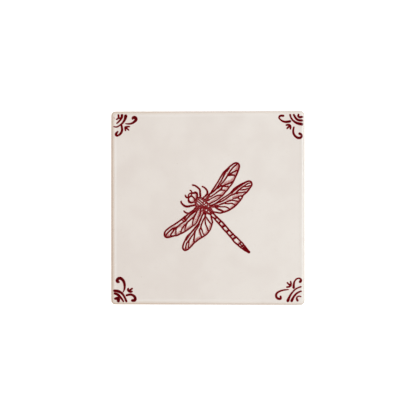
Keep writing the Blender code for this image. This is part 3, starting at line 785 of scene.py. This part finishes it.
top_right = corner(1, 1,
    stroke((1.1, 1.2, 1.25, 1.35), (4.35, 2.4), (4.5, 3.4), (3.8, 4.05), (2.0, 3.95)),
    stroke((1.25, 1.2, 1.25, 1.35), (7.45, 2.6), (6.45, 4.3), (4.9, 5.85), (2.0, 6.35)),
    stroke((1.05, 1.0, 1.15, 1.5, 1.7), (9.98, 2.5), (9.15, 4.8), (7.08, 7.07), (4.7, 8.27), (2.15, 8.8)),
    stroke((1.4, 1.35, 1.15, 0.85, 0.95, 1.25, 1.25), (10.05, 6.85), (12.1, 7.2), (14.5, 6.9),
           (16.35, 5.7), (17.3, 4.25), (16.5, 3.25), (14.5, 3.15)),
    stroke((0.95, 1.12, 1.2, 1.25, 1.42, 1.35, 1.25, 1.5), (7.42, 10.8), (7.84, 12.8), (7.63, 15.05),
           (6.22, 17.03), (4.1, 18.0), (2.47, 17.33), (2.45, 15.9), (3.6, 15.1)),
    stroke((1.05, 1.15, 1.3, 1.15, 1.0), (12.4, 9.37), (10.95, 9.15), (9.98, 9.75), (9.7, 10.7),
           (9.75, 11.8)),
    stroke((1.1, 1.1, 0.95), (10.5, 10.25), (11.2, 10.85), (11.9, 11.55)),
)
bottom_left = corner(-1, -1,
    stroke((1.4, 1.85, 1.8), (3.0, 4.42), (4.9, 4.45), (5.05, 2.88)),
    stroke(1.5, (5.0, 4.6), (5.8, 5.6)),
    stroke((1.35, 1.5, 1.3, 1.1, 1.1), (2.65, 7.9), (4.8, 6.95), (6.5, 5.3), (7.75, 3.7), (8.4, 2.65)),
    stroke((1.4, 1.65, 1.3, 1.1, 1.25), (2.3, 9.72), (4.8, 9.37), (7.3, 8.08), (9.1, 5.62),
           (10.45, 2.65)),
    stroke((0.55, 1.0, 1.35, 1.5, 1.65, 1.7, 1.65, 1.6, 1.55), (8.2, 8.8), (9.08, 10.7), (9.27, 13.0),
           (8.87, 15.4), (7.62, 17.3), (6.0, 18.1), (4.5, 17.35), (4.22, 16.15), (5.05, 15.6)),
    stroke((1.3, 1.25, 1.35, 1.65, 1.65, 1.6), (10.7, 6.7), (13.0, 7.15), (15.0, 6.6), (16.3, 4.9),
           (16.1, 3.4), (14.5, 3.2)),
    stroke((1.15, 1.15, 0.95), (12.2, 9.3), (11.5, 10.2), (11.7, 11.2)),
    stroke((1.25, 1.15, 1.0), (12.0, 9.5), (13.0, 10.2), (14.3, 11.2)),
    stroke((1.25, 1.15, 1.0), (12.1, 9.4), (13.2, 9.0), (14.2, 9.2)),
)
bottom_right = corner(1, -1,
    stroke((0.65, 0.78, 0.88, 1.1, 1.3), (2.6, 5.75), (4.1, 6.0), (5.2, 5.35), (5.35, 4.2), (4.85, 3.2)),
    stroke((0.9, 1.08, 1.22, 1.55), (2.5, 9.37), (4.65, 8.42), (7.03, 6.15), (8.78, 2.95)),
    stroke((0.85, 0.88, 0.92, 1.26, 1.65), (2.6, 12.4), (5.6, 11.1), (8.0, 8.9), (10.1, 5.8),
           (11.3, 3.0)),
    stroke((1.45, 1.2, 0.88, 0.88, 1.0, 1.4, 1.4), (7.4, 11.8), (7.32, 14.0), (6.53, 16.4), (4.7, 17.9),
           (2.95, 17.6), (2.6, 16.4), (3.2, 15.6)),
    stroke((0.5, 0.9, 1.02, 1.2, 1.32, 1.35, 1.35, 1.15), (10.8, 10.4), (13.4, 10.2), (16.65, 9.3),
           (18.8, 7.7), (19.1, 6.0), (17.8, 4.4), (16.2, 4.4), (16.1, 5.8)),
    stroke((0.95, 1.05, 1.05), (9.45, 15.7), (9.2, 14.5), (9.3, 13.3)),
    stroke((0.85, 1.05, 1.05), (11.65, 15.0), (10.75, 14.1), (9.6, 13.2)),
    stroke((0.9, 1.05, 1.05), (12.0, 12.1), (10.5, 12.28), (9.3, 13.0)),
)


# ---------------------------------------------------------------- the pieces

glaze_skin = make_glaze_skin()
biscuit = make_biscuit()
bpy.ops.object.select_all(action='DESELECT')
ground = BVHTree.FromObject(glaze_skin, bpy.context.evaluated_depsgraph_get())

# Loads of colour: in a line of the dragonfly, in its hatching, and where a line bled.
LINE, HATCH, BLED = 0.65, 0.5, 0.1

painting = [brushwork(name, [(BLED, feather(lines))] + under + [(load, lines)], ground, at)
            for name, at, load, lines, under in (
    ("head", (0.16, -0.22), LINE, head, [(HATCH, head_shading)]),
    ("legs", (0.14, -0.16), LINE, legs, []),
    ("thorax", (0.17, -0.18), LINE, thorax, [(0.44, thorax_wash)]),
    ("abdomen", (0.1, -0.18), LINE, abdomen, [(HATCH, abdomen_shading)]),
    ("right_forewing", (0.06, -0.25), LINE, right_forewing, [(HATCH, right_forewing_shading)]),
    ("right_hindwing", (0.08, -0.22), LINE, right_hindwing, [(HATCH, right_hindwing_shading)]),
    ("left_forewing", (0.2, -0.16), LINE, left_forewing,
     [(0.3, left_forewing_wash), (HATCH, left_forewing_shading)]),
    ("left_hindwing", (0.14, -0.16), LINE, left_hindwing, [(HATCH, left_hindwing_shading)]),
    ("scroll_top_left", (0.07, -0.26), 0.86, top_left, []),
    ("scroll_top_right", (0.04, -0.29), 0.88, top_right, []),
    ("scroll_bottom_left", (0.0, -0.27), 0.93, bottom_left, []),
    ("scroll_bottom_right", (-0.12, 0.05), 0.7, bottom_right, []),
)]

# Faint touches of colour where a finger or the brush met the raw glaze.
smears = [
    stroke((0.4, 0.8, 0.5), (-63.0, 60.9), (-62.7, 60.4), (-62.6, 59.9)),
    stroke((0.5, 0.9, 0.5), (-52.2, -56.3), (-51.7, -56.8), (-51.2, -57.3)),
    stroke((0.3, 0.7, 0.4), (-2.4, -20.2), (-1.9, -20.2)),
]
painting.append(brushwork("smears", [(0.022, smears)], ground))
scratched_lights = brushwork("scratched_lights", [(1.0, thorax_lights + hindwing_light + tail_lights)],
                             ground, at=(0.12, -0.2), lift=0.1 * MM)


# ---------------------------------------------------------------- finishes

class Share:
    """A number or colour that varies over a surface. Sums on numbers add their own nodes."""

    def __init__(self, finish, socket):
        self.finish, self.socket = finish, socket

    def sum(self, operation, a, b=0.0):
        return self.finish.node('Math', {'operation': operation}, {0: a, 1: b})

    def __add__(self, other):
        return self.sum('ADD', self, other)

    def __radd__(self, other):
        return self.sum('ADD', other, self)

    def __sub__(self, other):
        return self.sum('SUBTRACT', self, other)

    def __rsub__(self, other):
        return self.sum('SUBTRACT', other, self)

    def __mul__(self, other):
        return self.sum('MULTIPLY', self, other)

    def __rmul__(self, other):
        return self.sum('MULTIPLY', other, self)

    def __abs__(self):
        return self.sum('ABSOLUTE', self)

    def larger(self, other):
        return self.sum('MAXIMUM', self, other)


class Finish:
    """The nodes of a material or of the world, feeding the shader that it comes with."""

    def __init__(self, owner, **steady):
        owner.use_nodes = True
        self.owner, self.tree = owner, owner.node_tree
        self.shader = next(made for made in self.tree.nodes if made.outputs)
        for socket, value in steady.items():
            self.shader.inputs[socket.replace("_", " ")].default_value = value

    def node(self, kind, settings, sockets, *outputs):
        """Add a node from its type, its settings and the values or links of its sockets. The
        named outputs come back, or the first one."""
        made = self.tree.nodes.new("ShaderNode" + kind)
        for setting, value in settings.items():
            if setting == "stops":
                self.set_stops(made.color_ramp.elements, value)
            else:
                setattr(made, setting, value)
        for socket, value in sockets.items():
            if isinstance(socket, str):
                socket = next(i for i, s in enumerate(made.inputs) if s.name == socket and s.enabled)
            if isinstance(value, Share):
                self.tree.links.new(value.socket, made.inputs[socket])
            else:
                made.inputs[socket].default_value = value
        found = [Share(self, s) for s in made.outputs if s.enabled and (s.name in outputs or not outputs)]
        return found[:len(outputs)] if len(outputs) > 1 else found[0]

    def set_stops(self, elements, stops):
        for place, _ in stops[2:]:
            elements.new(place)
        for stop, (place, tint) in zip(elements, stops):
            stop.position, stop.color = place, tint

    def feed(self, socket, share):
        self.tree.links.new(share.socket, self.shader.inputs[socket])

    def place(self):
        return self.node('TexCoord', {}, {}, "Object")

    def noise(self, size, detail=3.0, roughness=0.55):
        """Noise whose blotches are about a size, in metres, across."""
        return self.node('TexNoise', {}, {"Vector": self.place(), "Scale": 1 / size, "Detail": detail,
                                          "Roughness": roughness})

    def specks(self, apart, edge, middle):
        """Specks about so many metres apart: 1 in the middle of each and 0 from its edge on,
        both given as shares of that distance."""
        cells = self.node('TexVoronoi', {'feature': 'F1'}, {"Vector": self.place(), "Scale": 1 / apart})
        return self.fade(cells, edge, middle)

    def fade(self, share, start, end):
        """0 before the start and 1 past the end, smooth between them."""
        return self.node('MapRange', {'interpolation_type': 'SMOOTHSTEP'},
                         {"Value": share, "From Min": start, "From Max": end})

    def mix(self, share, a, b):
        return self.node('Mix', {'data_type': 'RGBA'}, {"Factor": share, "A": a, "B": b})

    def bump(self, height, distance, normal=None):
        sockets = {"Height": height, "Distance": distance}
        if normal:
            sockets["Normal"] = normal
        return self.node('Bump', {}, sockets)


def colour(red, green, blue):
    """A colour from its display values, 0 to 255."""
    return tuple((c / 12.92 if c < 0.04045 else ((c + 0.055) / 1.055) ** 2.4)
                 for c in (red / 255, green / 255, blue / 255)) + (1.0,)


def cream_glaze():
    glaze = Finish(bpy.data.materials.new("cream tin glaze"), IOR=1.5)
    x, y, z = glaze.node('SeparateXYZ', {}, {0: glaze.place()}, "X", "Y", "Z")
    reach = abs(x).larger(abs(y))
    pooled = glaze.noise(22 * MM, 2.0)
    clotted = glaze.noise(2.6 * MM, 4.0, 0.6)
    body = glaze.mix(glaze.fade(pooled, 0.35, 0.68), colour(227, 218, 209), colour(231, 223, 214))
    body = glaze.mix(glaze.fade(clotted, 0.55, 0.8) * 0.5, body, colour(223, 213, 202))
    # Over the edge and low on the side little glaze is left, so the warm clay shows through; along the edge
    # painted shade deepens that tint.
    rim = glaze.fade(reach + (clotted - 0.5) * (0.7 * MM), HALF - 2.9 * MM + x * 0.006, HALF - 0.5 * MM)
    # Painted shade: the edge band reaches further in and its tint is deeper towards the left and bottom,
    # away from the key light.
    thin_glaze_and_painted_shade = rim * (0.46 + abs(x) * 3.0 - x * 3.1 - y * 0.8)
    # Whiter where the glaze pooled in the bead, and more so on the left as a painted highlight, where the
    # bead's slope faces the key light.
    pooled_glaze_and_painted_highlight = glaze.fade(reach, HALF - 4.4 * MM, HALF - 3.2 * MM) * (1 - rim) * (0.2 - x * 2.5)
    low = glaze.fade(z + (clotted - 0.5) * (1.5 * MM), glaze_low.z + 1.9 * MM, glaze_low.z)
    body = glaze.mix(pooled_glaze_and_painted_highlight, body, colour(242, 236, 229))
    body = glaze.mix(thin_glaze_and_painted_shade, body, colour(210, 192, 172))
    body = glaze.mix(low * 0.8, body, colour(200, 172, 142))
    # A few specks of iron, and pinholes where gas came out of the clay.
    body = glaze.mix(glaze.specks(9 * MM, 0.026, 0.012) * 0.55, body, colour(150, 118, 90))
    pinholes = glaze.specks(5.3 * MM, 0.03, 0.012)
    glaze.feed("Base Color", glaze.mix(pinholes * 0.3, body, colour(190, 168, 146)))
    glaze.feed("Roughness", 0.09 + clotted * 0.07 + rim * 0.3 + low * 0.1)
    rippled = glaze.bump(glaze.noise(3.4 * MM, 2.0), 0.02 * MM)
    glaze.feed("Normal", glaze.bump(1 - pinholes, 0.04 * MM, rippled))
    return glaze.owner


def fired_clay():
    clay = Finish(bpy.data.materials.new("fired buff clay"), IOR=1.45)
    cloudy = clay.noise(14 * MM, 3.0)
    grit = clay.noise(0.7 * MM, 4.0, 0.7)
    body = clay.mix(clay.fade(cloudy, 0.3, 0.7), colour(208, 176, 140), colour(190, 152, 114))
    body = clay.mix(clay.fade(grit, 0.52, 0.8) * 0.6, body, colour(224, 198, 166))
    sand = clay.specks(1.9 * MM, 0.2, 0.1)
    clay.feed("Base Color", clay.mix(sand * 0.5, body, colour(140, 98, 68)))
    clay.feed("Roughness", 0.82 + grit * 0.14)
    coarse = clay.bump(grit, 0.16 * MM)
    clay.feed("Normal", clay.bump(cloudy + sand * 0.2, 0.3 * MM, coarse))
    return clay.owner


def painted_colour(name, stops):
    """Colour that changes with how deep it lies, under the same gloss as the glaze."""
    paint = Finish(bpy.data.materials.new(name), IOR=1.5)
    depth = paint.node('Attribute', {'attribute_name': "paint_depth"}, {}, "Fac")
    uneven = paint.noise(0.9 * MM, 3.0, 0.6)
    laid = depth * (0.78 + uneven * 0.44)
    paint.feed("Base Color", paint.node('ValToRGB', {'stops': stops}, {0: laid}))
    paint.feed("Roughness", 0.11 + uneven * 0.06)
    paint.feed("Normal", paint.bump(uneven, 0.012 * MM))
    return paint.owner


crimson = painted_colour("crimson glaze colour", [
    (0.00, colour(222, 192, 184)), (0.05, colour(188, 111, 109)), (0.13, colour(149, 47, 52)),
    (0.26, colour(113, 8, 15)), (0.62, colour(100, 2, 9)), (1.00, colour(80, 3, 7))])
lifted = painted_colour("glaze showing through crimson", [
    (0.00, colour(126, 40, 44)), (0.25, colour(200, 165, 160)), (0.50, colour(232, 224, 216))])

finished = [(glaze_skin, cream_glaze(), "cream_glaze"), (biscuit, fired_clay(), "fired_clay"),
            (scratched_lights, lifted, "cream_glaze")]
finished += [(part, crimson, "crimson_paint") for part in painting]
for piece, finish, slot in finished:
    piece.data.materials.clear()
    piece.data.materials.append(finish)
    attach(piece, "root")
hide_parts("glaze_coat")
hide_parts("clay_body")


# ---------------------------------------------------------------- the studio

KEY_LIGHT = Vector((0.68, 0.10, 0.66))
LIGHT_TINT = (1.085, 0.985, 0.952)
LIGHT_LEVELS = ((0.0, 0.3), (0.49, 0.35), (0.51, 1.0), (0.93, 1.0), (0.975, 0.0))  # going up
EYE = Vector((0.019, 0.0, tile_high.z + 0.6571))  # almost straight above the face
LOOK = Vector((0.00024, -0.00003, tile_high.z))

bpy.ops.mesh.primitive_plane_add(size=6, location=(0, 0, tile_low.z))
floor = bpy.context.object
floor.name = "floor"
paper = Finish(bpy.data.materials.new("white paper"), Roughness=0.9, Base_Color=(0.93, 0.93, 0.93, 1),
               Emission_Color=(1, 1, 1, 1), Emission_Strength=0.7)
floor.data.materials.append(paper.owner)
floor.visible_diffuse = floor.visible_glossy = False

# Even soft light from all round, dark straight overhead, where the gloss would mirror it.
surround = Finish(bpy.data.worlds.new("soft studio"), Strength=0.9)
height = surround.node('SeparateXYZ', {}, {0: surround.node('TexCoord', {}, {}, "Generated")}, "Z")
stops = [(place, (level * LIGHT_TINT[0], level * LIGHT_TINT[1], level * LIGHT_TINT[2], 1))
         for place, level in LIGHT_LEVELS]
surround.feed("Color", surround.node('ValToRGB', {'stops': stops}, {0: height * 0.5 + 0.5}))
bpy.context.scene.world = surround.owner

bpy.ops.object.light_add(type='AREA', location=KEY_LIGHT)
key = bpy.context.object
key.data.shape = 'DISK'
key.data.size = 0.9
key.data.energy = 4.9
key.data.color = (0.78, 1.04, 1.18)
key.rotation_euler = (-KEY_LIGHT).to_track_quat('-Z', 'Y').to_euler()

down = EYE.z - LOOK.z
bpy.ops.object.camera_add(location=EYE, rotation=(
    atan2(LOOK.y - EYE.y, down), atan2(EYE.x - LOOK.x, down), 0.0))
camera = bpy.context.object
camera.data.lens = 85
camera.data.sensor_width = 36
camera.data.clip_start = 0.05
camera.data.clip_end = 10
bpy.context.scene.camera = camera
bpy.context.scene.view_settings.view_transform = 'Standard'
